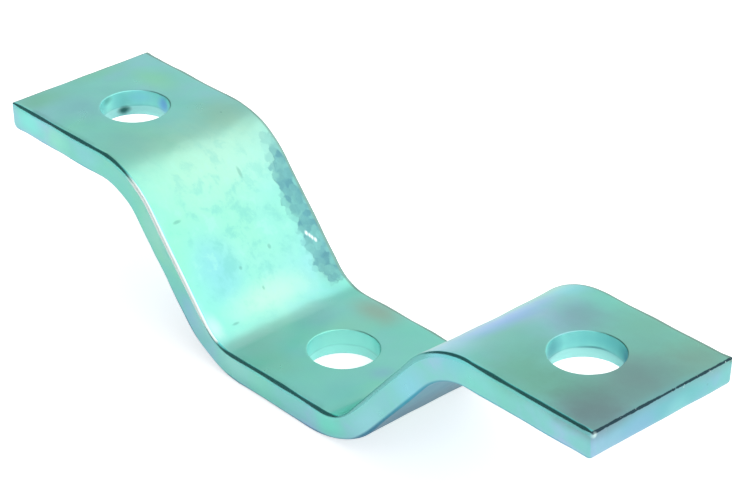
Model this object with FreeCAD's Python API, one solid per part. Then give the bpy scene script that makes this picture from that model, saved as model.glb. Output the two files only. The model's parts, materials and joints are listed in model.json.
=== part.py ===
"""V-shaped sprinkler bracket, bent from one length of flat steel bar.

The bracket is fixed overhead by the bolts through its two ears. A threaded rod hangs from the
hole in its seat and carries the sprinkler pipe. The blank is sheared to length, punched with
three round holes and pressed in one stroke into a shallow V, so it is one solid.

Frame: +X along the strip, +Y across it, +Z up. The origin is the centre of the seat's
underside, on which the bracket stands. All sizes are in millimetres.
"""
import FreeCAD, Part
import math
import os

# Flat bar that the blank is sheared from
bar_width = 30.0
bar_thickness = 5.0
long_edge_radius = 0.6

# The bent shape, on the upper face, between the points where its straight runs would meet
seat_length = 30.0
mouth_length = 73.0
ear_rise = 24.5
overall_length = 139.0

# The seat's bends: the punch's nose marks the inside, and the outside stretches and thins
seat_bend_inner_radius = 8.0
seat_bend_outer_radius = 20.0

# The ears' bends: the strip wraps round the shoulders of the die and keeps its thickness
ear_bend_inner_radius = 13.0
ear_bend_outer_radius = 18.0

# Sheared ends: the blade rolls the lower corner over, and the upper corner is only broken
shear_rollover_radius = 1.2
shear_break = 0.3

# Punched holes
rod_hole_diameter = 12.0
ear_hole_diameter = 12.0
ear_hole_pitch = 108.0

# A punched hole's wall: rolled over at the top, a straight land, then a torn cone
punch_rollover_radius = 0.25
punch_land_end = 3.0
punch_breakout = 0.35

# Worked out from the sizes above
leg_run = (mouth_length - seat_length) / 2
leg_angle = math.atan2(ear_rise, leg_run)
mitre_shift = bar_thickness * math.tan(leg_angle / 2)
seat_top = bar_thickness
ear_top = bar_thickness + ear_rise
touching = 1e-6


def point(x, z, y=0.0):
    """A point of the side profile, which lies in the plane across the strip at y."""
    return FreeCAD.Vector(x, y, z)


def rounded_run(corners, radii, y):
    """Edges of straight runs through the corners, with a tangent arc of each radius between."""
    edges = []
    start = corners[0]
    for before, corner, after, radius in zip(corners, corners[1:], corners[2:], radii):
        arriving = (corner - before).normalize()
        leaving = (after - corner).normalize()
        turn = arriving.getAngle(leaving)
        tangent = radius * math.tan(turn / 2)
        arc_start = corner - arriving * tangent
        arc_end = corner + leaving * tangent
        towards_centre = (leaving - arriving).normalize()
        centre = corner + towards_centre * (radius / math.cos(turn / 2))
        arc_middle = centre - towards_centre * radius
        edges.append(Part.LineSegment(start, arc_start).toShape())
        edges.append(Part.Arc(arc_start, arc_middle, arc_end).toShape())
        start = arc_end
    edges.append(Part.LineSegment(start, corners[-1]).toShape())
    return edges


def side_profile(y):
    """The strip seen from its side: upper face, right end, lower face and left end."""
    end = overall_length / 2
    mouth = mouth_length / 2
    seat = seat_length / 2
    upper = [point(-end, ear_top, y), point(-mouth, ear_top, y), point(-seat, seat_top, y),
             point(seat, seat_top, y), point(mouth, ear_top, y), point(end, ear_top, y)]
    upper_radii = [ear_bend_outer_radius, seat_bend_inner_radius,
                   seat_bend_inner_radius, ear_bend_outer_radius]
    lower_mouth = mouth + mitre_shift
    lower_seat = seat + mitre_shift
    lower = [point(end, ear_top, y), point(end, ear_rise, y), point(lower_mouth, ear_rise, y),
             point(lower_seat, 0.0, y), point(-lower_seat, 0.0, y),
             point(-lower_mouth, ear_rise, y), point(-end, ear_rise, y), point(-end, ear_top, y)]
    lower_radii = [shear_rollover_radius, ear_bend_inner_radius, seat_bend_outer_radius,
                   seat_bend_outer_radius, ear_bend_inner_radius, shear_rollover_radius]
    return Part.Wire(rounded_run(upper, upper_radii, y) + rounded_run(lower, lower_radii, y))


def bent_blank():
    """The bent strip with square edges, before any edge is rounded."""
    profile = side_profile(-bar_width / 2)
    return Part.Face(profile).extrude(FreeCAD.Vector(0, bar_width, 0))


def is_outline_edge(edge):
    """True for an edge that runs round the front or the back side of the strip."""
    sides = [abs(abs(vertex.Y) - bar_width / 2) for vertex in edge.Vertexes]
    spread = edge.BoundBox.YLength
    return max(sides) < touching and spread < touching


def is_upper_end_edge(edge):
    """True for the sheared edge across the top of either end."""
    box = edge.BoundBox
    across = box.YLength > bar_width / 2
    at_end = abs(abs(box.Center.x) - overall_length / 2) < touching
    return across and at_end and abs(box.Center.z - ear_top) < touching


def with_rounded_edges(blank):
    """The mill rounding round both sides, then the small break of the sheared upper edges."""
    outline = [edge for edge in blank.Edges if is_outline_edge(edge)]
    rounded = blank.makeFillet(long_edge_radius, outline)
    upper_ends = [edge for edge in rounded.Edges if is_upper_end_edge(edge)]
    return rounded.makeFillet(shear_break, upper_ends)


def punched_hole(x, top, diameter):
    """The space a punch leaves when it enters from above at x: the tool to cut with."""
    radius = diameter / 2
    bottom = top - bar_thickness
    land_end = top - punch_land_end
    clear = bar_thickness
    roll_edge = radius + punch_rollover_radius
    roll_middle = radius + punch_rollover_radius * (1 - math.cos(math.pi / 4))
    roll_depth = punch_rollover_radius * (1 - math.sin(math.pi / 4))
    edges = [
        Part.LineSegment(point(0, top + clear), point(roll_edge, top + clear)),
        Part.LineSegment(point(roll_edge, top + clear), point(roll_edge, top)),
        Part.Arc(point(roll_edge, top), point(roll_middle, top - roll_depth),
                 point(radius, top - punch_rollover_radius)),
        Part.LineSegment(point(radius, top - punch_rollover_radius), point(radius, land_end)),
        Part.LineSegment(point(radius, land_end), point(radius + punch_breakout, bottom)),
        Part.LineSegment(point(radius + punch_breakout, bottom),
                         point(radius + punch_breakout, bottom - clear)),
        Part.LineSegment(point(radius + punch_breakout, bottom - clear),
                         point(0, bottom - clear)),
        Part.LineSegment(point(0, bottom - clear), point(0, top + clear)),
    ]
    section = Part.Face(Part.Wire([edge.toShape() for edge in edges]))
    tool = section.revolve(FreeCAD.Vector(0, 0, 0), FreeCAD.Vector(0, 0, 1), 360)
    tool.translate(FreeCAD.Vector(x, 0, 0))
    return tool


def bent_strip():
    """The finished bracket: rounded blank less its three punched holes."""
    strip = with_rounded_edges(bent_blank())
    holes = [punched_hole(0.0, seat_top, rod_hole_diameter)]
    for side in (-1, 1):
        holes.append(punched_hole(side * ear_hole_pitch / 2, ear_top, ear_hole_diameter))
    for hole in holes:
        strip = strip.cut(hole)
    return strip


strip = bent_strip()
solid = strip.Solids[0]
print("solids", len(strip.Solids), "valid", solid.isValid(), "volume", round(solid.Volume, 1))
box = solid.optimalBoundingBox(False, False)
print("box", round(box.XLength, 3), round(box.YLength, 3), round(box.ZLength, 3))
os.makedirs("parts", exist_ok=True)
solid.exportStep("parts/bent_strip.step")
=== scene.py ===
# %% [markdown]
# This file dresses a small pressed bracket: one strip of flat steel bar, bent into a shallow V,
# punched with three round holes and then zinc plated. The CAD model gives its size and shape.
# Here the same strip is rebuilt as one fine mesh with soft edges, and gets the plated finish
# that makes the real thing look real.

# %% The frame
import json
import math

import bmesh
import bpy
import numpy as np
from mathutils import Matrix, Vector

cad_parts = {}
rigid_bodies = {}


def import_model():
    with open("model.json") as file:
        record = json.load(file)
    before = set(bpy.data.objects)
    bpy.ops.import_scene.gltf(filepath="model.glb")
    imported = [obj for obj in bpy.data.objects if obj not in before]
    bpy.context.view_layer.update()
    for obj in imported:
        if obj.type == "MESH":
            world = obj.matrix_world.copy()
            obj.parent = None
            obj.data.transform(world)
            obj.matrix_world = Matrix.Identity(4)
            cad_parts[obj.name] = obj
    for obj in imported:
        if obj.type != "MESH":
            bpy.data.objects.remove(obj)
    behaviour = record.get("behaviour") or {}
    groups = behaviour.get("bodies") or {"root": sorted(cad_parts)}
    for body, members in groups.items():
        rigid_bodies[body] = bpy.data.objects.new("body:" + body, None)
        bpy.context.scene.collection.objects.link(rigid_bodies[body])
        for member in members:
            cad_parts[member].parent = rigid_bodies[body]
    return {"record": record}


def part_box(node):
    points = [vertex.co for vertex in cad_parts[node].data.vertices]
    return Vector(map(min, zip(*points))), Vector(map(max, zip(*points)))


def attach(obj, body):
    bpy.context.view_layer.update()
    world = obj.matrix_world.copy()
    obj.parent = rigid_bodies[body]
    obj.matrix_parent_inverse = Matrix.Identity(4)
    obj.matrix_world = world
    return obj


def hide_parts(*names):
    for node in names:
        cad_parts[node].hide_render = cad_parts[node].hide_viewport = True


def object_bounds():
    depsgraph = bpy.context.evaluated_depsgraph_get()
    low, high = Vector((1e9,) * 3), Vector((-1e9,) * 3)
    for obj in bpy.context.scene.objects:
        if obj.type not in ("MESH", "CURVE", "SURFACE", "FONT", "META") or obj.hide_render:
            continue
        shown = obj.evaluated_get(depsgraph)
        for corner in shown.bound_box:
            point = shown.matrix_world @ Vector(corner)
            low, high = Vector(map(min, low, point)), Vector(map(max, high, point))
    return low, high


for leftover in list(bpy.data.objects):
    bpy.data.objects.remove(leftover)
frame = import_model()
cad_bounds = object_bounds()
mounts = {mount["name"]: mount for mount in frame["record"]["mounts"]}
print("CAD box in metres:", [[round(v, 4) for v in corner] for corner in cad_bounds])

# %% [markdown]
# The sizes. The outer box, the holes' size and their places come from the frame. The rest are the
# strip's own sizes, in metres: how thick it is, where its straight runs would meet, and the
# radius on each side of each bend. The press stretches and thins the outside of the seat's
# bends, so a wide arc lies outside and a smaller one inside, and the two aren't parallel.

# %% Sizes
mm = 0.001
low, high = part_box("bent_strip")
half_length = high[0]
half_width = high[1]
ear_top = high[2]
thickness = 5.0 * mm
seat_half = 15.0 * mm
mouth_half = 36.5 * mm
seat_inner_radius = 8.0 * mm
seat_outer_radius = 20.0 * mm
ear_inner_radius = 13.0 * mm
ear_outer_radius = 18.0 * mm
edge_radius = 0.6 * mm
end_break = 0.3 * mm
end_rollover = 1.2 * mm
hole_radius = mounts["rod_hole"]["dims"]["r_mm"] * mm
ear_hole_x = mounts["ear_holes"]["dims"]["spacing_x_mm"] * mm / 2
hole_rollover = 0.25 * mm
hole_land_end = 3.0 * mm
hole_breakout = 0.35 * mm
hole_lower_break = 0.12 * mm

ear_rise = ear_top - thickness
leg_angle = math.atan2(ear_rise, mouth_half - seat_half)
mitre_shift = thickness * math.tan(leg_angle / 2)
print("leg angle in degrees:", round(math.degrees(leg_angle), 2))

# %% [markdown]
# The side view is two lines of straight runs with a round corner at each bend, one for the upper
# face and one for the lower. Both are read with the same number, the station: its whole part
# counts the corners passed and its fraction is the share of the run that follows. Near a corner
# the point lies on the arc, at an angle in proportion to the distance still to go. So a station
# means the same place in the strip on both faces, however different their radii are.


# %% A path with round corners
def rounded_path(corners, radii, station):
    """Points and left-hand normals at each station of a run of lines with round corners.

    On a line the point is start + fraction * (end - start). Within one tangent length, which is
    radius * tan(turn / 2), of a corner it is on the arc, at half the turn times the distance
    from the corner over the tangent length, counted from the middle of the arc.
    """
    corners = np.asarray(corners, float)
    runs = np.diff(corners, axis=0)
    lengths = np.linalg.norm(runs, axis=1)
    headings = np.arctan2(runs[:, 1], runs[:, 0])
    run = np.clip(np.floor(station).astype(int), 0, len(runs) - 1)
    along = (station - run) * lengths[run]
    point = corners[run] + runs[run] / lengths[run][:, None] * along[:, None]
    heading = headings[run].copy()
    for index, radius in enumerate(radii, start=1):
        turn = headings[index] - headings[index - 1]
        tangent = radius * math.tan(abs(turn) / 2)
        signed = np.where(run == index - 1, along - lengths[index - 1], np.inf)
        signed = np.where(run == index, along, signed)
        on_arc = np.abs(signed) < tangent
        share = signed[on_arc] / tangent
        middle = (headings[index] + headings[index - 1]) / 2
        side = math.copysign(1.0, turn)
        inward = np.array([-math.sin(middle), math.cos(middle)]) * side
        centre = corners[index] + inward * radius / math.cos(turn / 2)
        heading[on_arc] = middle + share * turn / 2
        outward = np.stack([np.sin(heading[on_arc]), -np.cos(heading[on_arc])], axis=1) * side
        point[on_arc] = centre + outward * radius
    normal = np.stack([-np.sin(heading), np.cos(heading)], axis=1)
    return point, normal


upper_corners = [(-half_length, ear_top), (-mouth_half, ear_top), (-seat_half, thickness),
                 (seat_half, thickness), (mouth_half, ear_top), (half_length, ear_top)]
lower_mouth = mouth_half + mitre_shift
lower_seat = seat_half + mitre_shift
lower_corners = [(-half_length, ear_rise), (-lower_mouth, ear_rise), (-lower_seat, 0.0),
                 (lower_seat, 0.0), (lower_mouth, ear_rise), (half_length, ear_rise)]
upper_radii = [ear_outer_radius, seat_inner_radius, seat_inner_radius, ear_outer_radius]
lower_radii = [ear_inner_radius, seat_outer_radius, seat_outer_radius, ear_inner_radius]


def upper_face(station):
    """Points of the upper face's line and its outward normals."""
    return rounded_path(upper_corners, upper_radii, station)


def lower_face(station):
    """Points of the lower face's line and its outward normals."""
    point, normal = rounded_path(lower_corners, lower_radii, station)
    return point, -normal


# %% [markdown]
# The stations aren't evenly spaced: they crowd where a small arc needs them. Each end of a face
# stops short of the sheared end by the radius of the rounding there. The three blocks of stations
# round the holes are kept, because the mesh is cut open there.


# %% Stations along the strip
def spaced(knots, counts):
    """Values from knot to knot, with each stretch cut into its own number of even steps."""
    stretches = [np.linspace(a, b, n, endpoint=False) for a, b, n in zip(knots, knots[1:], counts)]
    return np.concatenate(stretches + [[knots[-1]]])


seat_hole_block = (0.13, 0.87)
ear_hole_block = (0.25, 0.85)
leg_knots = [3.0, 3.12, 3.28, 3.75]
ear_knots = [4.0, 4.0 + ear_hole_block[0], 4.0 + ear_hole_block[1], 5.0]
right_half = spaced([2.5, 2.0 + seat_hole_block[1]] + leg_knots + ear_knots,
                    [18, 16, 16, 14, 34, 22, 24, 52, 14])
stations = np.concatenate([5.0 - right_half[:0:-1], right_half])


def stopped_short(gap, corners):
    """The stations, with those past each ear's hole squeezed to end a gap before the end."""
    ear_run = corners[-1][0] - corners[-2][0]
    last = 5.0 - gap / ear_run
    block_end = 4.0 + ear_hole_block[1]
    distance = np.abs(stations - 2.5)
    knee = block_end - 2.5
    squeezed = knee + (distance - knee) * (last - block_end) / (5.0 - block_end)
    distance = np.where(distance > knee, squeezed, distance)
    return 2.5 + np.sign(stations - 2.5) * distance


upper_stations = stopped_short(end_break, upper_corners)
lower_stations = stopped_short(end_rollover, lower_corners)
print("stations along the strip:", len(stations))

# %% [markdown]
# Nothing rolled and pressed is perfectly even, and even edges look like a drawing. Small, slow
# variations come from a sum of plane waves: each has its own direction, a wavelength near the
# wanted size and its own phase, all drawn from a seeded generator, so every run gives the same.


# %% Slow variation
def ripple(points, size, seed, waves=14):
    """A smooth value near -1 to 1 at each point: the mean of sines of (direction . point / size)."""
    generator = np.random.default_rng(seed)
    direction = generator.normal(size=(waves, points.shape[-1]))
    direction /= np.linalg.norm(direction, axis=1)[:, None]
    wavelength = size * generator.uniform(0.7, 1.5, waves)
    phase = generator.uniform(0, 2 * math.pi, waves)
    angle = points @ (direction / wavelength[:, None]).T * 2 * math.pi + phase
    return np.sin(angle).sum(axis=-1) / math.sqrt(waves / 2) / 2


def eased(value):
    """0 below 0, 1 above 1, and 3 v^2 - 2 v^3 between."""
    value = np.clip(value, 0.0, 1.0)
    return value * value * (3 - 2 * value)


# %% [markdown]
# The outline of the side view is a closed loop: the upper face, the right end, the lower face and
# the left end. The bar's mill rounding runs round this loop on both sides, and its radius wanders
# a little, as it does on a real rolled bar. The end has a small break above, where the shear left
# a burr, and a wide rollover below, where the blade pressed in.


# %% The sheared end
end_segments = (4, 6, 8)
end_edge_share = 0.93


def sheared_end():
    """The right end from the upper face down to the lower: quarter arc, line, quarter arc."""
    upper_turn = np.linspace(math.pi / 2, 0, end_segments[0] + 1)
    lower_turn = np.linspace(0, -math.pi / 2, end_segments[2] + 1)
    upper_centre = np.array([half_length - end_break, ear_top - end_break])
    lower_centre = np.array([half_length - end_rollover, ear_rise + end_rollover])
    upper_normal = np.stack([np.cos(upper_turn), np.sin(upper_turn)], axis=1)
    lower_normal = np.stack([np.cos(lower_turn), np.sin(lower_turn)], axis=1)
    upper_arc = upper_centre + end_break * upper_normal
    lower_arc = lower_centre + end_rollover * lower_normal
    share = np.linspace(0, 1, end_segments[1] + 1)[1:-1, None]
    face = upper_arc[-1] * (1 - share) + lower_arc[0] * share
    face_normal = np.repeat([[1.0, 0.0]], len(face), axis=0)
    point = np.concatenate([upper_arc, face, lower_arc])
    normal = np.concatenate([upper_normal, face_normal, lower_normal])
    return point, normal


def wandering_radius(point, seed):
    """The long edge's radius at each point of the loop, within a fifth of its nominal size."""
    return edge_radius * (1 + 0.2 * ripple(point, 9 * mm, seed))


def mirrored(values):
    """The left end's copy of the right end's points or normals."""
    return values * np.array([-1.0, 1.0])


upper_point, upper_normal = upper_face(upper_stations)
lower_point, lower_normal = lower_face(lower_stations)
end_point, end_normal = sheared_end()

end_distance = half_length - np.abs(upper_point[:, 0])
settled = eased((end_distance - end_break) / (2 * mm))
upper_radius = end_edge_share * end_break * (1 - settled)
upper_radius = upper_radius + wandering_radius(upper_point, 3) * settled
end_distance = half_length - np.abs(lower_point[:, 0])
settled = eased((end_distance - end_rollover) / (2 * mm))
lower_radius = edge_radius * (1 - settled) + wandering_radius(lower_point, 5) * settled
drop = (ear_top - end_break - end_point[:, 1]) / (thickness - end_break - end_rollover)
end_radius = end_edge_share * end_break * (1 - eased(drop)) + edge_radius * eased(drop)
print("long edge radius in mm:", np.round([upper_radius.min() / mm, upper_radius.max() / mm], 2))

# %% [markdown]
# The mesh is a patchwork of grids. Every grid is a function of two numbers, and grids that meet
# share the points of their seam, so merging doubles closes the skin. The faces are grids of
# station by place across the strip. The long edges are grids of the loop by the angle of the
# rounding. The sides are grids between the upper and the lower loop.


# %% Patchwork
class Patchwork:
    """Collects grids of points, each with four-sided faces between its rows and columns."""

    def __init__(self):
        self.points = []
        self.faces = []
        self.count = 0

    def add(self, grid):
        """Adds a grid of points and the faces between them."""
        rows, columns = grid.shape[:2]
        index = np.arange(rows * columns).reshape(rows, columns) + self.count
        faces = np.stack([index[:-1, :-1], index[1:, :-1], index[1:, 1:], index[:-1, 1:]], axis=-1)
        self.points.append(grid.reshape(-1, 3))
        self.faces.append(faces.reshape(-1, 4))
        self.count += rows * columns

    def arrays(self):
        """All points and all faces."""
        return np.concatenate(self.points), np.concatenate(self.faces)


def across(point, y):
    """A grid of 3D points: the side view's (x, z) of each row, at each y of that row."""
    x = np.broadcast_to(point[:, 0:1], y.shape)
    z = np.broadcast_to(point[:, 1:2], y.shape)
    return np.stack([x, y, z], axis=-1)


face_columns = 37
last_column = 0.993
face_share = np.concatenate([[-1.0], np.linspace(-last_column, last_column, face_columns), [1.0]])
edge_angle = np.linspace(0, math.pi / 2, 6)


def face_grid(point, radius):
    """Rows along the strip, columns across it between the two long edges' roundings."""
    return across(point, face_share[None, :] * (half_width - radius[:, None]))


def edge_grid(point, normal, radius, side):
    """The rounding: inward by radius * (1 - cos a), out to half_width - radius * (1 - sin a)."""
    radius = radius[:, None]
    inward = radius * (1 - np.cos(edge_angle))
    y = side * (half_width - radius + radius * np.sin(edge_angle))
    x = point[:, 0:1] - normal[:, 0:1] * inward
    z = point[:, 1:2] - normal[:, 1:2] * inward
    return np.stack([x, y, z], axis=-1)


def side_grid(side):
    """Columns at each station from the upper loop to the lower one, with the ends' own columns."""
    upper = upper_point - upper_normal * upper_radius[:, None]
    lower = lower_point - lower_normal * lower_radius[:, None]
    end = end_point - end_normal * end_radius[:, None]
    steps = np.linalg.norm(np.diff(end_point, axis=0), axis=1)
    share = np.concatenate([[0.0], np.cumsum(steps)]) / steps.sum()
    grid = upper[:, None, :] * (1 - share[None, :, None]) + lower[:, None, :] * share[None, :, None]
    grid[-1] = end
    grid[0] = mirrored(end)
    y = np.full(grid.shape[:2], side * half_width)
    return np.stack([grid[..., 0], y, grid[..., 1]], axis=-1)


# %% [markdown]
# A punched hole is a block of its own. The block is a rectangle with a circle in it: each ray
# goes from a point of the rectangle's rim to the circle at the same angle. The wall below turns
# over at the top where the punch pulled the metal in, runs straight where the punch cut, and
# then tears into a rougher cone. The line between cut and torn metal wanders round the hole.

# %% Punched holes
hole_rays = 12
ray_crowding = 1.6


def block_range(first, last):
    """The indexes of the stations at which a hole's block starts and ends."""
    return int(np.argmin(np.abs(stations - first))), int(np.argmin(np.abs(stations - last)))


def rim_walk(start, stop, radius):
    """Station index and y of each point round a block's rim, once round from one corner."""
    columns = len(face_share)
    rows = stop - start
    index = np.concatenate([np.arange(start, stop), np.full(columns - 1, stop),
                            np.arange(stop, start, -1), np.full(columns - 1, start)])
    share = np.concatenate([np.full(rows, -1.0), face_share[:-1],
                            np.full(rows, 1.0), face_share[:0:-1]])
    return index, share * (half_width - radius[index])


def holed_block(face, corners, station_values, radius, start, stop, centre, circle, angle=None):
    """The grid of rays from the block's rim to the circle, laid on the face, and the angles used."""
    index, rim_y = rim_walk(start, stop, radius)
    run = int(math.floor((station_values[start] + station_values[stop]) / 2))
    run_start = corners[run][0]
    run_length = corners[run + 1][0] - run_start
    rim_x = run_start + (station_values[index] - run) * run_length - centre
    if angle is None:
        angle = np.arctan2(rim_y, rim_x)
    share = np.linspace(0, 1, hole_rays + 1)[None, :] ** ray_crowding
    x = circle * np.cos(angle)[:, None] * (1 - share) + rim_x[:, None] * share
    y = circle * np.sin(angle)[:, None] * (1 - share) + rim_y[:, None] * share
    station = run + (x + centre - run_start) / run_length
    point = face(station.ravel())[0].reshape(station.shape + (2,))
    grid = np.stack([point[..., 0], y, point[..., 1]], axis=-1)
    return np.concatenate([grid, grid[:1]]), angle


def land_depth(round_hole, seed):
    """Depth at which the cut ends, at points of the unit circle round the hole."""
    return hole_land_end + 0.15 * mm * ripple(round_hole, 1.1, seed)


def hole_wall(centre, top, angle, seed):
    """The wall's grid: at each angle a quarter arc, a straight land, a torn cone and a break.

    The cone widens fast at first, and has its full width five eighths of the way down.
    """
    angle = np.concatenate([angle, angle[:1]])
    round_hole = np.stack([np.cos(angle), np.sin(angle)], axis=1)
    land_end = land_depth(round_hole, seed)[:, None]
    turn = np.linspace(0, math.pi / 2, 6)[None, :]
    over_radius = hole_radius + hole_rollover * (1 - np.sin(turn))
    over_depth = hole_rollover * (1 - np.cos(turn))
    land = np.linspace(0, 1, 7)[None, 1:]
    torn = np.linspace(0, 1, 9)[None, 1:]
    last_depth = thickness - hole_lower_break
    rows = len(angle)
    wide = hole_radius + hole_breakout
    torn_radius = hole_radius + hole_breakout * np.minimum(torn * 1.6, 1.0) ** 0.8
    break_radius = wide + hole_lower_break * (1 - np.cos(turn[:, 1:]))
    break_depth = last_depth + hole_lower_break * np.sin(turn[:, 1:])
    land_radius = np.full(land.shape, hole_radius)
    radii = np.concatenate([over_radius, land_radius, torn_radius, break_radius], axis=1)
    radius = np.repeat(radii, rows, axis=0)
    depth = np.concatenate([np.repeat(over_depth, rows, 0),
                            hole_rollover + (land_end - hole_rollover) * land,
                            land_end + (last_depth - land_end) * torn,
                            np.repeat(break_depth, rows, 0)], 1)
    x = centre + radius * np.cos(angle)[:, None]
    y = radius * np.sin(angle)[:, None]
    return np.stack([x, y, top - depth], axis=-1)


def add_hole(skin, block, centre, top, seed):
    """One hole's upper block, wall and lower block."""
    start, stop = block_range(*block)
    rim = hole_radius + hole_rollover
    foot = hole_radius + hole_breakout + hole_lower_break
    upper, angle = holed_block(upper_face, upper_corners, upper_stations, upper_radius,
                               start, stop, centre, rim)
    lower, _ = holed_block(lower_face, lower_corners, lower_stations, lower_radius,
                           start, stop, centre, foot, angle)
    skin.add(upper)
    skin.add(hole_wall(centre, top, angle, seed))
    skin.add(lower)
    return start, stop


# %% [markdown]
# Now the pieces are sewn together. The holes' blocks come first. The plain faces fill the
# stretches between them, and the two ends, the long edges and the sides close the skin.

# %% Sewing the strip
skin = Patchwork()
holes = [((1 - ear_hole_block[1], 1 - ear_hole_block[0]), -ear_hole_x, ear_top, 21),
         ((2 + seat_hole_block[0], 2 + seat_hole_block[1]), 0.0, thickness, 22),
         ((4 + ear_hole_block[0], 4 + ear_hole_block[1]), ear_hole_x, ear_top, 23)]
breaks = [0]
for block, centre, top, seed in holes:
    breaks += add_hole(skin, block, centre, top, seed)
breaks.append(len(stations) - 1)
for first, last in zip(breaks[0::2], breaks[1::2]):
    stretch = slice(first, last + 1)
    skin.add(face_grid(upper_point[stretch], upper_radius[stretch]))
    skin.add(face_grid(lower_point[stretch], lower_radius[stretch]))
for point in (end_point, mirrored(end_point)):
    skin.add(face_grid(point, end_radius))
for side in (-1, 1):
    skin.add(edge_grid(upper_point, upper_normal, upper_radius, side))
    skin.add(edge_grid(lower_point, lower_normal, lower_radius, side))
    skin.add(edge_grid(end_point, end_normal, end_radius, side))
    skin.add(edge_grid(mirrored(end_point), mirrored(end_normal), end_radius, side))
    skin.add(side_grid(side))
points, faces = skin.arrays()
print("points before merging:", len(points), "faces:", len(faces))

# %% [markdown]
# Bending changes more than the side view. Metal on the outside of a bend is stretched, so it draws
# in at the strip's two sides, and the strip's edges curl a little towards the outside of the bend.
# Both fade away from the bend. Over all of it lies the faint unevenness of rolled and plated bar,
# which breaks reflections up. It only ever goes inward, so the strip stays in its box.

# %% Uneven metal
side_draw = 0.10 * mm
curl = 0.14 * mm
wave = 0.032 * mm
small_wave = 0.010 * mm
half_turn = leg_angle / 2
ear_bend_x = mouth_half + ear_outer_radius * math.tan(half_turn)
seat_bend_x = lower_seat - seat_outer_radius * math.tan(half_turn)
bends = []
for side in (-1, 1):
    bends.append((side * ear_bend_x, ear_top - ear_outer_radius, ear_outer_radius,
                  -side * math.sin(half_turn), math.cos(half_turn)))
    bends.append((side * seat_bend_x, seat_outer_radius, seat_outer_radius,
                  side * math.sin(half_turn), -math.cos(half_turn)))


def bend_shift(point, centre_x, centre_z, radius, middle_x, middle_z):
    """How far one bend moves each point: outward by the curl, and in from the sides by the draw.

    The weight is 1 in the middle of the bend and eases to 0 a little beyond the end of its arc.
    The curl is the weight times (1.5 s^2 - 0.5), where s is the share of the half width. The draw
    is felt in the last quarter of the half width, and grows towards the outside of the bend.
    """
    x = point[:, 0] - centre_x
    z = point[:, 2] - centre_z
    distance = np.hypot(x, z)
    angle = np.abs(np.arctan2(x * middle_z - z * middle_x, x * middle_x + z * middle_z))
    weight = eased(1.25 - angle / (1.6 * half_turn)) * eased((radius + 4 * mm - distance) / (2 * mm))
    share = np.abs(point[:, 1]) / half_width
    outward = curl * weight * (1.5 * share ** 2 - 0.5)
    outer = eased((distance - radius + 0.8 * thickness) / (0.8 * thickness))
    draw = side_draw * weight * outer * eased((share - 0.75) / 0.25)
    return np.stack([outward * x / distance, -np.sign(point[:, 1]) * draw,
                     outward * z / distance], axis=-1)


# %% [markdown]
# The patchwork becomes a mesh object. Points of a seam that lie on each other are merged, and a
# count of open edges shows whether the skin is closed. Then the bends and the unevenness move the
# points, and none may leave the box of the CAD part.


# %% The mesh object
seam_reach = 0.002 * mm


def closed_mesh(name, points, faces):
    """A mesh with its seams merged and its faces turned outward."""
    mesh = bpy.data.meshes.new(name)
    mesh.from_pydata(points, [], faces)
    work = bmesh.new()
    work.from_mesh(mesh)
    bmesh.ops.remove_doubles(work, verts=work.verts, dist=seam_reach)
    bmesh.ops.recalc_face_normals(work, faces=work.faces)
    open_edges = sum(len(edge.link_faces) != 2 for edge in work.edges)
    work.to_mesh(mesh)
    work.free()
    print(name, "has", len(mesh.polygons), "faces and", open_edges, "open edges")
    return mesh


def read(mesh, what):
    """The mesh's points or normals as an array."""
    values = np.empty(len(mesh.vertices) * 3)
    mesh.vertices.foreach_get(what, values)
    return values.reshape(-1, 3)


def write(mesh, point):
    """Moves the mesh's points."""
    mesh.vertices.foreach_set("co", point.ravel())
    mesh.update()


def new_object(name, data):
    """An object of the scene that holds a mesh or a camera."""
    made = bpy.data.objects.new(name, data)
    bpy.context.collection.objects.link(made)
    return made


strip_mesh = closed_mesh("plated_strip", points, faces)
point = read(strip_mesh, "co")
write(strip_mesh, point + sum(bend_shift(point, *bend) for bend in bends))
point = read(strip_mesh, "co")
depth = wave * (1 + ripple(point, 8 * mm, 31)) + small_wave * (1 + ripple(point, 2.6 * mm, 32))
point = point - read(strip_mesh, "normal") * depth[:, None]
box_low = np.array(cad_bounds[0])
box_high = np.array(cad_bounds[1])
write(strip_mesh, np.clip(point, box_low, box_high))
strip_mesh.shade_smooth()
strip = new_object("plated_strip", strip_mesh)

# %% [markdown]
# Shader maths reads best as maths. A small class wraps a socket, so that a line such as
# `1 - mask * 0.5` adds the Math nodes by itself. Any other node comes from one method, which takes
# the node's type, its settings, and the values or links of its sockets.


# %% A small language for shaders
class Value:
    """The output of a node. Arithmetic on it adds Math nodes to the same tree."""

    def __init__(self, shader, socket):
        self.shader = shader
        self.socket = socket

    def maths(self, operation, *operands):
        """One Math node on the operands, which are values or plain numbers."""
        values = dict(enumerate(operands))
        return self.shader.node("ShaderNodeMath", {"operation": operation}, values)

    def __add__(self, other):
        return self.maths("ADD", self, other)

    def __sub__(self, other):
        return self.maths("SUBTRACT", self, other)

    def __mul__(self, other):
        return self.maths("MULTIPLY", self, other)

    def __radd__(self, other):
        return self.maths("ADD", other, self)

    def __rsub__(self, other):
        return self.maths("SUBTRACT", other, self)

    def __rmul__(self, other):
        return self.maths("MULTIPLY", other, self)

    def size(self):
        """The value without its sign."""
        return self.maths("ABSOLUTE", self)

    def larger(self, other):
        """The larger of this value and another."""
        return self.maths("MAXIMUM", self, other)

    def between(self, low, high):
        """0 at low and 1 at high, easing in and out. low may be the larger of the two."""
        settings = {"interpolation_type": "SMOOTHSTEP"}
        values = {"Value": self, "From Min": low, "From Max": high}
        return self.shader.node("ShaderNodeMapRange", settings, values)


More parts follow.
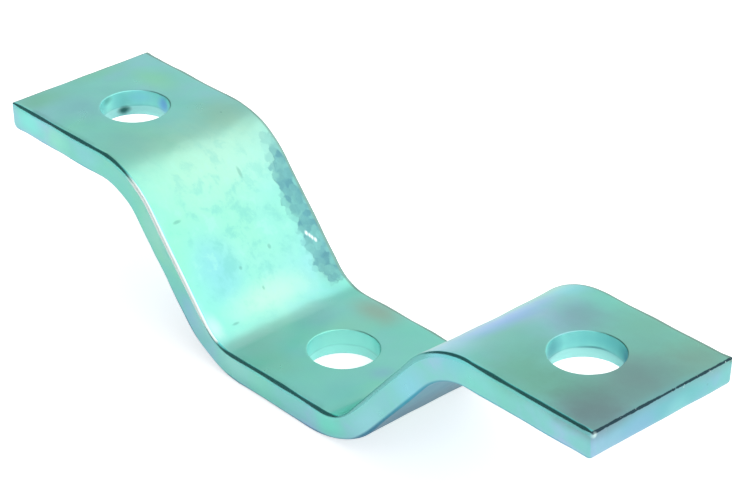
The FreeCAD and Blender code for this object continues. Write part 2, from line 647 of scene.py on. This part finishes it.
class Shader:
    """A node tree that is being written."""

    def __init__(self, owner):
        owner.use_nodes = True
        self.tree = owner.node_tree
        self.tree.nodes.clear()

    def node(self, kind, settings=None, values=None, output=0):
        """Adds a node, makes its settings, fills its sockets and gives back one output."""
        node = self.tree.nodes.new(kind)
        for name, setting in (settings or {}).items():
            if name == "stops":
                self.set_stops(node.color_ramp, setting)
            else:
                setattr(node, name, setting)
        for name, value in (values or {}).items():
            socket = node.inputs[name]
            if isinstance(value, Value):
                self.tree.links.new(value.socket, socket)
            else:
                socket.default_value = value
        if not node.outputs:
            return node
        return Value(self, node.outputs[output])

    def parts(self, vector):
        """The three parts of a vector."""
        split = self.node("ShaderNodeSeparateXYZ", values={0: vector}).socket.node
        return [Value(self, split.outputs[index]) for index in range(3)]

    @staticmethod
    def set_stops(ramp, stops):
        """Puts a stop on a colour ramp for each pair of place and colour."""
        while len(ramp.elements) < len(stops):
            ramp.elements.new(1.0)
        for element, (position, tint) in zip(ramp.elements, stops):
            element.position = position
            element.color = tint

    def vector(self, operation, *operands, output=0):
        """One Vector Math node on the operands."""
        values = dict(enumerate(operands))
        return self.node("ShaderNodeVectorMath", {"operation": operation}, values, output)

    def mix(self, share, first, second):
        """A mix of two colours: first where share is 0, second where it is 1."""
        settings = {"data_type": "RGBA", "clamp_factor": True}
        return self.node("ShaderNodeMix", settings, {0: share, 6: first, 7: second}, 2)

    def noise(self, place, size, detail=3.0, roughness=0.55, distortion=0.0):
        """Perlin noise near 0 to 1, with features about as large as size, in metres."""
        values = {"Vector": place, "Scale": 1 / size, "Detail": detail,
                  "Roughness": roughness, "Distortion": distortion}
        return self.node("ShaderNodeTexNoise", {"noise_dimensions": "3D"}, values)


def colour(red, green, blue):
    """A linear colour from the 0 to 255 values seen on a screen."""
    channels = [value / 255 for value in (red, green, blue)]
    linear = [v / 12.92 if v <= 0.04045 else ((v + 0.055) / 1.055) ** 2.4 for v in channels]
    return (*linear, 1.0)


# %% [markdown]
# The bar was rolled, sheared and punched while it was still flat, so its marks follow the strip
# round the bends. Each point therefore stores its place on the flat bar: how far along it lies
# from the middle, how far across, and how high above the middle line. A second number is kept for
# the hole walls: the depth below the line where the cut metal ends and the torn metal begins.


# %% Places on the flat bar
middle_line = (upper_face(stations)[0] + lower_face(stations)[0]) / 2
middle_step = np.gradient(middle_line, axis=0)
middle_step /= np.linalg.norm(middle_step, axis=1)[:, None]
middle_runs = np.linalg.norm(np.diff(middle_line, axis=0), axis=1)
middle_along = np.concatenate([[0.0], np.cumsum(middle_runs)])
middle_along -= middle_along[-1] / 2


def flat_place(point):
    """Along, across and height on the flat bar, from the nearest point of the middle line."""
    point = np.atleast_2d(point)
    nearest = np.concatenate([
        np.square(part[:, None, ::2] - middle_line[None]).sum(axis=2).argmin(axis=1)
        for part in np.array_split(point, max(1, len(point) // 4000))])
    offset = point[:, ::2] - middle_line[nearest]
    step = middle_step[nearest]
    along = middle_along[nearest] + (offset * step).sum(axis=1)
    height = offset[:, 1] * step[:, 0] - offset[:, 0] * step[:, 1]
    return np.stack([along, point[:, 1], height], axis=1)


def on_flat_bar(*point_mm):
    """The place on the flat bar of one point of the bracket, which is given in millimetres."""
    return tuple(float(v) for v in flat_place(np.array(point_mm) * mm)[0])


off_wall = -10 * mm


def torn_depth(point):
    """Depth below the end of the land on a hole's wall, and off_wall on all other points.

    The wall widens as it goes down, so points up to 0.5 mm outside the hole's radius count as
    wall there. Near the top only 0.1 mm does, which leaves the face round the hole alone.
    """
    result = np.full(len(point), off_wall)
    for _, centre, top, seed in holes:
        distance = np.hypot(point[:, 0] - centre, point[:, 1])
        round_hole = np.stack([point[:, 0] - centre, point[:, 1]], axis=1) / distance[:, None]
        below_top = top - point[:, 2]
        depth = below_top - land_depth(round_hole, seed)
        wall_reach = np.where(below_top > 2 * mm, 0.5 * mm, 0.1 * mm)
        near_top = np.abs(below_top) < 1.02 * thickness
        result = np.where((distance < hole_radius + wall_reach) & near_top, depth, result)
    return result


bar_place = strip_mesh.attributes.new("bar_place", "FLOAT_VECTOR", "POINT")
bar_place.data.foreach_set("vector", flat_place(read(strip_mesh, "co")).ravel())
torn = strip_mesh.attributes.new("torn_depth", "FLOAT", "POINT")
torn.data.foreach_set("value", torn_depth(read(strip_mesh, "co")))
print("flat bar length in mm:", round((middle_along[-1] - middle_along[0]) / mm, 1))

# %% [markdown]
# The finish. Zinc plating is bright metal under a thin clear film from the passivating bath, and
# the film shows interference colours. They drift from green through cyan to a violet blue as its
# thickness changes, as they do on a soap bubble. So one slow noise stands for the film's thickness
# and a ramp turns it into colour. The film is thicker on the sides, on the sheared ends and
# underneath, which are all bluer. On the sides and ends it is patchy too.

# %% The plating's film
plating = bpy.data.materials.new("zinc_plating")
shader = Shader(plating)
place = shader.node("ShaderNodeTexCoord", output=3)
bar = shader.node("ShaderNodeAttribute", {"attribute_name": "bar_place"}, output=1)
tear = shader.node("ShaderNodeAttribute", {"attribute_name": "torn_depth"}, output=2)
x, _, z = shader.parts(place)
along, over, height_on_bar = shader.parts(bar)

drift = shader.noise(bar, 30 * mm, detail=1.5, distortion=0.8)
mottle = shader.noise(bar, 6 * mm, detail=4.0, roughness=0.6, distortion=0.5)
grain = shader.noise(place, 0.8 * mm, detail=3.0)
on_side = over.size().between(half_width - 0.5 * mm, half_width - 0.05 * mm)
on_end = x.size().between(half_length - 0.5 * mm, half_length - 0.05 * mm)
underneath = height_on_bar.between(-1.2 * mm, -2.2 * mm)
side_patches = shader.noise(bar, 7 * mm, detail=2.0, distortion=1.0) - 0.5
film = (drift * 0.75 + mottle * 0.25 + on_side * 0.05 + on_end * 0.20 + underneath * 0.08
        + (on_side + on_end) * side_patches * 0.34)
finish = shader.node("ShaderNodeValToRGB", {"stops": [
    (0.34, colour(134, 222, 194)),
    (0.46, colour(133, 219, 203)),
    (0.56, colour(136, 216, 208)),
    (0.66, colour(146, 214, 218)),
    (0.78, colour(166, 206, 232))]}, {0: film})

# %% [markdown]
# Stains. The film isn't only slow drift: it also has patches. A stain is a soft ellipse on the flat
# bar, so it follows the bends, and its rim is broken up by noise.

# %% A stain
ragged = shader.noise(bar, 3.5 * mm, detail=4.0, roughness=0.65) - 0.5


def stain(point_mm, reach_mm, broken=0.4, rim=(1.30, 0.1)):
    """1 in the middle of an ellipse round a point of the strip, 0 outside it, with a broken rim."""
    away = shader.vector("SUBTRACT", bar, on_flat_bar(*point_mm))
    away = shader.vector("DIVIDE", away, tuple(v * mm for v in reach_mm))
    distance = shader.vector("LENGTH", away, output=1) + ragged * broken
    return distance.between(*rim)


# %% [markdown]
# The left leg is greener, there is a brown touch at the back of the seat, a violet band where the
# right ear bends down, and grey and olive patches on that ear. Each stain is listed one by one. Its
# line holds its centre on the bracket, its reach along, across and through the bar, both in
# millimetres, and then its strength and its colour.

# %% Where the stains are
face_stains = [
    ((-27, -1, 19), (20, 18, 4), 0.8, (150, 221, 196)),
    ((-22.5, -8, 13), (8, 5.5, 3), 0.75, (132, 204, 212)),
    ((-25, 5, 16.5), (5, 3, 3), 0.35, (140, 214, 208)),
    # This stain and the next are painted reflection: they carry the left leg's bright reflection on
    # past its foot onto the seat.
    ((-17.5, -1, 7.5), (4, 10, 3), 0.7, (186, 230, 206)),
    ((-13, -4, 5.2), (4.5, 11, 3), 0.55, (170, 232, 212)),
    ((-5, 12, 5), (6, 4, 4), 0.65, (158, 176, 158)),
    ((-4.8, -11, 5), (6.5, 4, 4), 0.45, (138, 204, 178)),
    ((-9.9, 3, 5), (3.5, 5, 4), 0.5, (136, 200, 204)),
    ((10.5, -9, 5), (5, 6, 2.4), 0.5, (124, 212, 206)),
    ((10, -0.4, 5), (2.5, 2.5, 2.4), 0.4, (144, 190, 222)),
    ((4.5, 12.5, 5), (5, 4, 2.4), 0.45, (130, 222, 204)),
    ((-67, -11, 29.5), (4, 7, 2.4), 0.75, (128, 206, 176)),
    ((-59.9, 9, 29.5), (6, 3.5, 2.4), 0.75, (140, 224, 186)),
    ((-68.5, 3, 29.5), (2.5, 7, 2.4), 0.75, (132, 214, 188)),
    ((-66, 12, 29.5), (5, 4, 2.4), 0.4, (138, 224, 216)),
    ((-59.5, -7.5, 29.5), (6, 5, 2.4), 0.7, (134, 202, 208)),
    ((-44, -9, 29.5), (6, 7, 3), 0.5, (134, 200, 190)),
    ((-41, 10, 29), (7, 6, 4), 0.6, (146, 200, 172)),
    ((-34.8, 2.1, 27.6), (9, 20, 5), 0.75, (174, 222, 200)),
    ((-10.5, -10, 5), (4.5, 7, 3), 0.65, (160, 212, 204)),
    ((-4.6, -15.8, 5), (4, 5, 3), 0.45, (136, 206, 192)),
    ((-12.4, 3.5, 5), (4, 6, 3), 0.6, (160, 226, 214)),
    ((-4.3, 5.8, 5), (5, 5, 3), 0.45, (148, 216, 200)),
    ((-17.1, 12.2, 7.4), (4, 3, 3), 0.6, (132, 190, 176))]
ear_stains = [
    ((62, 2, 29.5), (15, 20, 2.4), 0.65, (126, 182, 168)),
    ((44, -5, 29.5), (6, 8, 2.4), 0.6, (132, 200, 186)),
    ((60.4, -9, 29.5), (8, 6, 2.4), 0.7, (116, 178, 160)),
    ((66, -11.5, 29.5), (8, 7.5, 2.4), 0.75, (114, 136, 140)),
    ((63, 1, 29.5), (6, 6, 2.4), 0.55, (126, 160, 158)),
    ((66.5, 11, 29.5), (6, 6, 2.4), 0.65, (134, 176, 160)),
    ((54.5, 12, 29.5), (7, 5, 2.4), 0.5, (130, 194, 176)),
    ((46.5, 6.5, 29.5), (5.5, 5, 2.4), 0.6, (132, 168, 178)),
    ((37, -1, 28.8), (3.4, 14, 3), 0.9, (142, 192, 246)),
    ((38, 12.5, 29.2), (3.6, 3.2, 3), 0.75, (140, 236, 246)),
    ((37.5, -12, 29), (4, 4, 3), 0.6, (160, 224, 236)),
    ((51.3, -11.2, 29.5), (8, 6, 2.4), 0.6, (114, 180, 150)),
    ((49.5, -4.2, 29.5), (4, 5, 2.4), 0.35, (114, 176, 160)),
    ((66, -2, 29.5), (9, 12, 2.4), 0.48, (120, 146, 150))]
side_stains = [
    ((-21, -15, 8), (4.5, 1.5, 3), 0.6, (156, 200, 236)),
    ((-30, -15, 19), (6, 1.5, 3), 0.6, (164, 228, 210)),
    ((-64.5, -15, 27.5), (5, 1.5, 3), 0.8, (140, 242, 230)),
    ((-57, -15, 27), (4, 1.5, 3), 0.7, (150, 238, 210)),
    ((-48.5, -15, 27), (4, 1.5, 3), 0.6, (144, 218, 222)),
    ((-4, -15, 3), (5, 1.5, 2.5), 0.55, (144, 228, 210)),
    ((-10.5, -15, 3), (6, 1.5, 3), 0.7, (160, 228, 220)),
    ((13, -15, 3), (4, 1.5, 2.5), 0.7, (126, 236, 212)),
    ((25, -15, 13), (6, 1.5, 3), 0.45, (150, 210, 226)),
    ((46, -15, 27), (5, 1.5, 3), 0.6, (134, 226, 214)),
    ((69.5, 0, 27), (2, 16, 3), 0.8, (116, 198, 204)),
    ((69.5, -5, 26), (2, 5, 3), 0.5, (148, 192, 228)),
    ((69.5, 3, 26), (2, 3, 2), 0.45, (150, 226, 226)),
    ((32, -15, 18.7), (5, 1.5, 5), 0.6, (150, 218, 244)),
    ((41, -15, 28.7), (4, 1.5, 3), 0.5, (122, 214, 220)),
    ((21.8, -15, 7.4), (6, 1.5, 3), 0.7, (160, 222, 234)),
    ((-17.5, -15, 9.2), (4, 1.5, 6), 0.5, (166, 228, 214)),
    ((63.4, -15, 31.3), (4, 1.5, 3), 0.45, (112, 206, 180))]
for point_mm, reach_mm, share, tint in face_stains + ear_stains + side_stains:
    finish = shader.mix(stain(point_mm, reach_mm) * share, finish, colour(*tint))
print("stains:", len(face_stains + ear_stains + side_stains))

# %% [markdown]
# The left leg is also clouded: small paler and darker cells, such as a bath leaves when the steel
# wasn't quite clean. One finer noise, cut at a level, gives the cells, and a stain limits them.

# %% Clouds on the leg
on_leg = stain((-26.0, -1.0, 17.5), (20.0, 18.0, 4.0))
cloud = shader.noise(bar, 3.2 * mm, detail=5.0, roughness=0.66, distortion=0.2)
dark_cloud = cloud.between(0.48, 0.66) * on_leg
finish = shader.mix(dark_cloud * 0.50, finish, colour(116, 196, 188))
pale_cloud = cloud.between(0.46, 0.34) * on_leg
finish = shader.mix(pale_cloud * 0.40, finish, colour(166, 232, 214))

# %% [markdown]
# Along the back edge of the left leg lies a band of coarse, cobbled metal, where the bar's rolled
# edge was scaly before plating. Voronoi cells are such cobbles. The place that they are asked at is
# first shifted about by a fine noise, which bends their sides.

# %% Cobbles
cobble_size = 1.25 * mm
bend_scale = 900.0
bend_reach = 1.4 * mm
bending = shader.node("ShaderNodeTexNoise", None, {"Vector": bar, "Scale": bend_scale}, 1)
bending = shader.vector("SUBTRACT", bending, (0.5, 0.5, 0.5))
bending = shader.vector("MULTIPLY", bending, (bend_reach, bend_reach, 0.0))
bent_bar = shader.vector("ADD", bar, bending)
cobble_inputs = {"Vector": bent_bar, "Scale": 1 / cobble_size, "Randomness": 1.0,
                 "Smoothness": 0.5}
cobble_distance = shader.node("ShaderNodeTexVoronoi", {"feature": "SMOOTH_F1"}, cobble_inputs)
cobble_node = cobble_distance.socket.node
cobble_shade = shader.parts(Value(shader, cobble_node.outputs["Color"]))[0]
cobble_place = Value(shader, cobble_node.outputs["Position"])
cobble_along, cobble_over, _ = shader.parts(cobble_place)
print("cobble size in mm:", round(cobble_size / mm, 2))

# %% [markdown]
# Whether a cobble belongs to the band is asked once for the whole cell, at its centre, so the
# band's border runs between the cobbles. The band is narrower at its top and at its foot.

# %% The cobbled band
band_top = on_flat_bar(-36.0, 0.0, 29.0)[0]
band_foot = on_flat_bar(-15.8, 0.0, 6.2)[0]
border = 11.6 * mm - shader.noise(cobble_place, 7 * mm, detail=2.0) * 2.6 * mm
border = border + cobble_along.between(band_foot - 5 * mm, band_foot) * 1.6 * mm
border = border + cobble_along.between(band_top + 10 * mm, band_top + 2 * mm) * 1.8 * mm
in_band = cobble_over.between(border - 0.9 * mm, border + 0.6 * mm)
in_band = in_band * cobble_along.between(band_top, band_top + 5 * mm)
in_band = in_band * cobble_along.between(band_foot + 1 * mm, band_foot - 1 * mm)
in_band = in_band * height_on_bar.between(0.5 * mm, 1.5 * mm)
band_shade = in_band * (0.78 + cobble_shade * 0.22)
band_colour = shader.mix(cobble_shade, colour(106, 168, 166), colour(84, 140, 154))
finish = shader.mix(band_shade * 0.9, finish, band_colour)

# %% [markdown]
# Small marks: a few tiny dark pits and a bright scratch on the left leg, and a scatter of finer
# pits over all the rolled faces. The scatter is another set of Voronoi cells: a cell holds a pit
# only if its random shade is high, and the pit is a dot at its centre. The scratch runs askew, so
# it is a chain of small dots.

# %% Pits and scratches
pit_cell = 3.2 * mm
pit_node = shader.node("ShaderNodeTexVoronoi", {"feature": "F1"},
                       {"Vector": bar, "Scale": 1 / pit_cell, "Randomness": 1.0})
pit_shade = shader.parts(Value(shader, pit_node.socket.node.outputs["Color"]))[1]
pits = pit_node.between(0.09, 0.03) * pit_shade.between(0.90, 0.97) * 0.5
leg_pits = [
    ((-21.6, -3.7, 12.5), (0.3, 0.3, 2)),
    ((-22.5, 3.4, 13.6), (0.45, 0.35, 2)),
    ((-29, -11.1, 21), (0.3, 0.8, 2)),
    ((-31.5, 4.7, 23.8), (1, 0.35, 2)),
    ((-18.6, -1.4, 9), (0.4, 0.25, 2)),
    ((-16.2, -9.6, 6.3), (0.3, 0.7, 2))]
for point_mm, reach_mm in leg_pits:
    pits = pits.larger(stain(point_mm, reach_mm, 0.8, (1.4, 0.4)) * 0.6)
finish = shader.mix(pits * 0.6, finish, colour(70, 138, 130))
scratches = stain((-22.2, 11.4, 13.2), (0.55, 0.35, 2.0))
for point_mm in [(-21.8, 11.8, 12.8), (-21.5, 12.1, 12.4), (-21.1, 12.5, 12.0)]:
    scratches = scratches.larger(stain(point_mm, (0.5, 0.32, 2.0)))

# %% [markdown]
# The walls of the holes. The punch first shears a smooth land, faintly streaked along its way down,
# and then the rest tears, which leaves a coarse cone. A thin dark line parts the two, and it shows
# best in the right ear's hole. The streaks are noise that is stretched downwards. The walls are
# painted pale, which stands in for the light that the bright floor throws up into the holes: painted
# light. Their tints, partly the film's own colour and partly more painted light, and the two dark
# nicks are listed one by one, as the stains are.

# %% Hole walls
on_wall = tear.between(-4 * mm, -3.9 * mm)
torn_part = tear.between(-0.05 * mm, 0.15 * mm)
tear_line = tear.size().between(0.32 * mm, 0.05 * mm)
streak_place = shader.vector("MULTIPLY", place, (1.0, 1.0, 0.06))
streaks = shader.noise(streak_place, 0.45 * mm, detail=3.0)
broad_streaks = shader.noise(streak_place, 3.5 * mm, detail=1.5)
torn_grain = shader.noise(place, 0.55 * mm, detail=5.0, roughness=0.7)
# Painted light: these pale wall colours stand in for the light that the bright floor throws up into
# the holes.
land_colour_and_painted_light = shader.mix(broad_streaks.between(0.30, 0.70), colour(148, 236, 232),
                         colour(168, 255, 244))
wall_colour_and_painted_light = shader.mix(torn_part, land_colour_and_painted_light, colour(186, 255, 250))
# The tints below are partly the film's own colour and partly more painted light; the first brightens
# the seat's hole.
wall_tints_and_painted_light = [
    ((-4, 4, 3.5), (8, 8, 4), 0.8, (176, 255, 244)),
    ((-58.2, 4.3, 28.2), (3, 2.5, 1.5), 0.7, (144, 226, 240)),
    ((-53.6, 6, 27.7), (1.8, 1.5, 1.8), 0.85, (126, 190, 252)),
    ((-59.8, -1.6, 28.8), (1.5, 1.3, 0.9), 0.6, (84, 168, 160)),
    ((54, 4, 28.2), (8, 8, 2.4), 0.75, (98, 202, 206)),
    ((57.6, 4.8, 27.5), (1.8, 1.8, 2.6), 0.8, (66, 156, 184)),
    ((48.2, -1.5, 27.6), (1.8, 2.6, 2.4), 0.8, (84, 172, 182))]
for point_mm, reach_mm, share, tint in wall_tints_and_painted_light:
    wall_colour_and_painted_light = shader.mix(stain(point_mm, reach_mm) * share, wall_colour_and_painted_light, colour(*tint))
finish = shader.mix(on_wall * 0.95, finish, wall_colour_and_painted_light)
dark_tear = stain((50.8, 5.1, 26.5), (3.0, 2.5, 1.6)) * 0.6 + 0.08
finish = shader.mix(tear_line * dark_tear, finish, colour(52, 130, 140))
nicks = stain((-59.7, 1.9, 25.7), (1.2, 1.3, 0.9), 0.8, (1.3, 0.3))
nicks = nicks.larger(stain((56.8, 5.4, 25.5), (0.9, 0.9, 0.7), 0.5, (1.3, 0.4)))
nicks = nicks * on_wall
finish = shader.mix(nicks * 0.95, finish, colour(10, 104, 98))
print("tints on the hole walls:", len(wall_tints_and_painted_light))

# %% [markdown]
# The long edges. The bar's rounded edges rub against everything, so they are smoother than the faces.
# The upper ones are coloured a deeper teal, and along the back olive. The white line down the whole
# front edge of the left leg is a painted highlight: pale, less metallic colour that stands in for the
# glint of the front light. On the right leg's front edge a paler, less metallic teal is painted over
# the dark line that the wall draws there, which is painted light.

# %% Rubbed edges and painted edge light
upper_edge = over.size().between(half_width - 0.75 * mm, half_width - 0.45 * mm)
upper_edge = upper_edge * height_on_bar.between(1.45 * mm, 1.85 * mm) * (1 - on_side * 0.6)
highlight_from = on_flat_bar(-37.5, 0.0, 29.4)[0]
highlight_to = on_flat_bar(-14.5, 0.0, 5.2)[0]
# Painted highlight: the white line along the left leg's front edge stands in for the front light's
# glint.
painted_highlight_edge = over.between(-half_width + 0.58 * mm, -half_width + 0.42 * mm)
painted_highlight_edge = painted_highlight_edge * height_on_bar.between(1.70 * mm, 1.95 * mm)
painted_highlight_edge = painted_highlight_edge * along.between(highlight_from, highlight_from + 3 * mm)
painted_highlight_edge = painted_highlight_edge * along.between(highlight_to, highlight_to - 1 * mm)
# Also a painted highlight: a white spot at the foot's front corner.
painted_highlight_edge = painted_highlight_edge.larger(stain((-16.6, -13.6, 6.8), (3.0, 1.6, 1.5)) * 0.35)
back_edge = over.between(half_width - 1.0 * mm, half_width - 0.6 * mm)
back_edge = back_edge * height_on_bar.between(1.5 * mm, 1.9 * mm)
# Painted light: a paler, less metallic teal on the right leg's front edge, over the wall's dark
# reflection.
painted_pale_leg_edge = over.between(-half_width + 1.0 * mm, -half_width + 0.6 * mm)
painted_pale_leg_edge = painted_pale_leg_edge * height_on_bar.between(1.55 * mm, 1.85 * mm)
painted_pale_leg_edge = painted_pale_leg_edge * along.between(-highlight_to, -highlight_to + 1.5 * mm)
painted_pale_leg_edge = painted_pale_leg_edge * along.between(-highlight_from - 1 * mm, -highlight_from - 4 * mm)
finish = shader.mix(upper_edge * 0.75, finish, colour(80, 206, 206))
finish = shader.mix(painted_pale_leg_edge * 0.8, finish, colour(122, 214, 210))
finish = shader.mix(back_edge * 0.8, finish, colour(128, 160, 146))
finish = shader.mix(painted_highlight_edge, finish, colour(238, 252, 248))
print("the white line is", round((highlight_to - highlight_from) / mm, 1), "mm long")

# %% [markdown]
# The sheared ends. The blade dragged a burr along the upper edge of each, and a line is coloured
# along it: olive on the left end, and on the right end dark and broken, with bright specks of bare
# metal. That line is one of the first things one sees on the real bracket. A white spot on the right
# end's front corner is a painted highlight.

# %% The dark burr line
burr_noise = shader.noise(place, 0.9 * mm, detail=4.0, roughness=0.7)
reach = (0.18 + burr_noise * 0.34) * mm
below_top = ear_top - z
near_end = half_length - x.size()
corner_distance = near_end + below_top
burr = corner_distance.between(reach + 0.10 * mm, reach - 0.05 * mm)
burr = burr * burr_noise.between(0.26, 0.34)
burr_colour = shader.mix(x.between(-1 * mm, 1 * mm), colour(104, 150, 122), colour(10, 50, 62))
speck_noise = shader.noise(place, 0.5 * mm, detail=2.0)
bare_specks_and_painted_highlight = speck_noise.between(0.68, 0.74) * corner_distance.between(1.0 * mm, 0.6 * mm)
bare_specks_and_painted_highlight = bare_specks_and_painted_highlight * x.between(-1 * mm, 1 * mm)
# Painted highlight: a white spot on the right end's front upper corner.
bare_specks_and_painted_highlight = bare_specks_and_painted_highlight.larger(stain((69.3, -14.5, 28.9), (0.45, 0.55, 0.5)))
finish = shader.mix(burr * 0.94, finish, burr_colour)
finish = shader.mix(bare_specks_and_painted_highlight, finish, colour(225, 252, 250))

# %% [markdown]
# Underneath, the lower faces are painted a darker blue, darkest low down where the bracket stands
# on the floor. This is painted shade: it stands in for the floor's shadow that these faces reflect.
# It hardly shows from above, except as the thin rim along the lower edges and as the wedge below
# the right leg.

# %% Painted shade underneath
# Painted shade: a darker blue on the lower faces and the lower rim, darkest near the floor, for the
# floor's shadow that they reflect.
painted_shade_blue = shader.mix(z.between(6 * mm, 18 * mm), colour(14, 106, 148), colour(34, 160, 188))
painted_shade_underneath = height_on_bar.between(-1.80 * mm, -2.25 * mm) * (1 - on_wall)
finish = shader.mix(painted_shade_underneath * 0.8, finish, painted_shade_blue)

# %% [markdown]
# The surface itself. Everything so far was colour. Roughness rises with the mottling, in the
# cobbled band and on the hole walls, and falls on the rubbed edges. One height drives the bumps:
# the mottled etching, the fine grain, the cobbles and the torn grain, each with its own depth in
# millimetres. Pits, burr and hole walls scatter light as well, so they are less metallic than the
# rest, and so are the painted white line on the left leg and the paler edge of the right leg.

# %% Plated metal
roughness = 0.23 + mottle * 0.14 + band_shade * 0.10 + on_wall * 0.14 + burr * 0.2
roughness = roughness + on_end * 0.04 - scratches * 0.2 - upper_edge * 0.12 + dark_cloud * 0.06
roll_place = shader.vector("MULTIPLY", bar, (0.08, 1.0, 1.0))
rolling = shader.noise(roll_place, 0.7 * mm, detail=3.0)
height = (mottle * 0.034 + cloud * on_leg * 0.022 + grain * 0.006 + rolling * 0.005
          + streaks * on_wall * 0.004 + torn_grain * torn_part * 0.04 - pits * 0.04 - nicks * 0.04
          + burr_noise * upper_edge * 0.02
          - cobble_distance * in_band * 0.10 - tear_line * 0.03) * mm
bump = shader.node("ShaderNodeBump", values={"Strength": 1.0, "Distance": 1.0, "Height": height})
metalness = 0.95 - pits * 0.3 - burr * 0.2 - on_wall * 0.42 - painted_highlight_edge * 0.6 - painted_pale_leg_edge * 0.6
surface = shader.node("ShaderNodeBsdfPrincipled", values={
    "Base Color": shader.mix(scratches, finish, colour(235, 250, 246)),
    "Metallic": metalness, "Roughness": roughness, "Normal": bump})
shader.node("ShaderNodeOutputMaterial", values={0: surface})
strip.data.materials.append(plating)
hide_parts("bent_strip")
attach(strip, "root")
print("plating nodes:", len(plating.node_tree.nodes))

# %% [markdown]
# The room is a pale floor under a studio sky. The floor has light of its own for the camera, so
# that it comes out white, and less for reflections, so that the metal shows a bright floor that
# still holds the bracket's shadow.

# %% Floor
floor_reach = 3.0
floor_mesh = bpy.data.meshes.new("floor")
floor_corners = [(-floor_reach, -floor_reach, 0), (floor_reach, -floor_reach, 0),
                 (floor_reach, floor_reach, 0), (-floor_reach, floor_reach, 0)]
floor_mesh.from_pydata(floor_corners, [], [(0, 1, 2, 3)])
floor = new_object("floor", floor_mesh)
paper = bpy.data.materials.new("white_paper")
shader = Shader(paper)
camera_ray = shader.node("ShaderNodeLightPath", output=0)
glossy_ray = Value(shader, camera_ray.socket.node.outputs["Is Glossy Ray"])
clear_ray = Value(shader, camera_ray.socket.node.outputs["Is Transmission Ray"])
own_light = camera_ray * 0.65 + glossy_ray.larger(clear_ray) * 0.32
diffuse = shader.node("ShaderNodeBsdfDiffuse", values={"Color": colour(228, 228, 228)})
glow = shader.node("ShaderNodeEmission", values={"Color": (1, 1, 1, 1), "Strength": own_light})
shader.node("ShaderNodeOutputMaterial",
            values={0: shader.node("ShaderNodeAddShader", values={0: diffuse, 1: glow})})
floor.data.materials.append(paper)

# %% [markdown]
# Metal shows what is round it, so the sky isn't one plain white. One wide soft light stands behind
# the bracket on the right and another in front of it. The left side is a dark wall, and there is a
# low dark screen in front. The first light makes the left leg bright, the second whitens the leg's
# edge, and the wall draws the dark line along the edges of the seat and ears.

# %% Sky
sky = bpy.data.worlds.new("studio")
bpy.context.scene.world = sky
shader = Shader(sky)
direction = shader.node("ShaderNodeTexCoord", output=0)


def glow_towards(azimuth, elevation, inner, outer):
    """1 within the inner angle of a direction and 0 beyond the outer one. Azimuth 0 is +X."""
    turn = math.radians(azimuth)
    rise = math.radians(elevation)
    towards = (math.cos(turn) * math.cos(rise), math.sin(turn) * math.cos(rise), math.sin(rise))
    facing = shader.vector("DOT_PRODUCT", direction, towards, output=1)
    return facing.between(math.cos(math.radians(outer)), math.cos(math.radians(inner)))


back_light = glow_towards(55, 40, 32, 46)
front_light = glow_towards(340, 45, 30, 42)
backdrop = glow_towards(140, 5, 15, 42)
dark_wall = glow_towards(206, 28, 42, 52)
dark_screen = glow_towards(268, 6, 14, 24)
plain = (0.80 + backdrop * 0.10) * (1 - dark_wall.larger(dark_screen) * 0.86)
brightness = plain + back_light * 0.60 + front_light * 0.60
background_ray = shader.node("ShaderNodeLightPath", output=0)
strength = brightness * (1 - background_ray) + background_ray
sky_light = shader.node("ShaderNodeBackground", values={"Color": (1, 1, 1, 1), "Strength": strength})
shader.node("ShaderNodeOutputWorld", values={0: sky_light})
print("sky nodes:", len(sky.node_tree.nodes))

# %% [markdown]
# The camera stands where the photograph was taken from: in front of the bracket, to its right and
# above it, far away with a long lens. Its place was fitted to the edges of the real bracket.

# %% Camera
view_azimuth = 47.80
view_elevation = 29.98
view_distance = 447.7 * mm
focal_length = 133.65
aim = Vector((-3.52 * mm, 8.20 * mm, 19.06 * mm))
turn = math.radians(view_azimuth)
rise = math.radians(view_elevation)
backward = Vector((math.sin(turn) * math.cos(rise), -math.cos(turn) * math.cos(rise), math.sin(rise)))
camera_data = bpy.data.cameras.new("camera")
camera_data.lens = focal_length
camera_data.sensor_width = 36.0
camera_data.clip_start = 0.01
camera = new_object("camera", camera_data)
camera.location = aim + backward * view_distance
camera.rotation_euler = (-backward).to_track_quat("-Z", "Y").to_euler()
bpy.context.scene.camera = camera
bpy.context.scene.view_settings.view_transform = "Standard"
print("camera at, in mm:", [round(v / mm, 1) for v in camera.location])
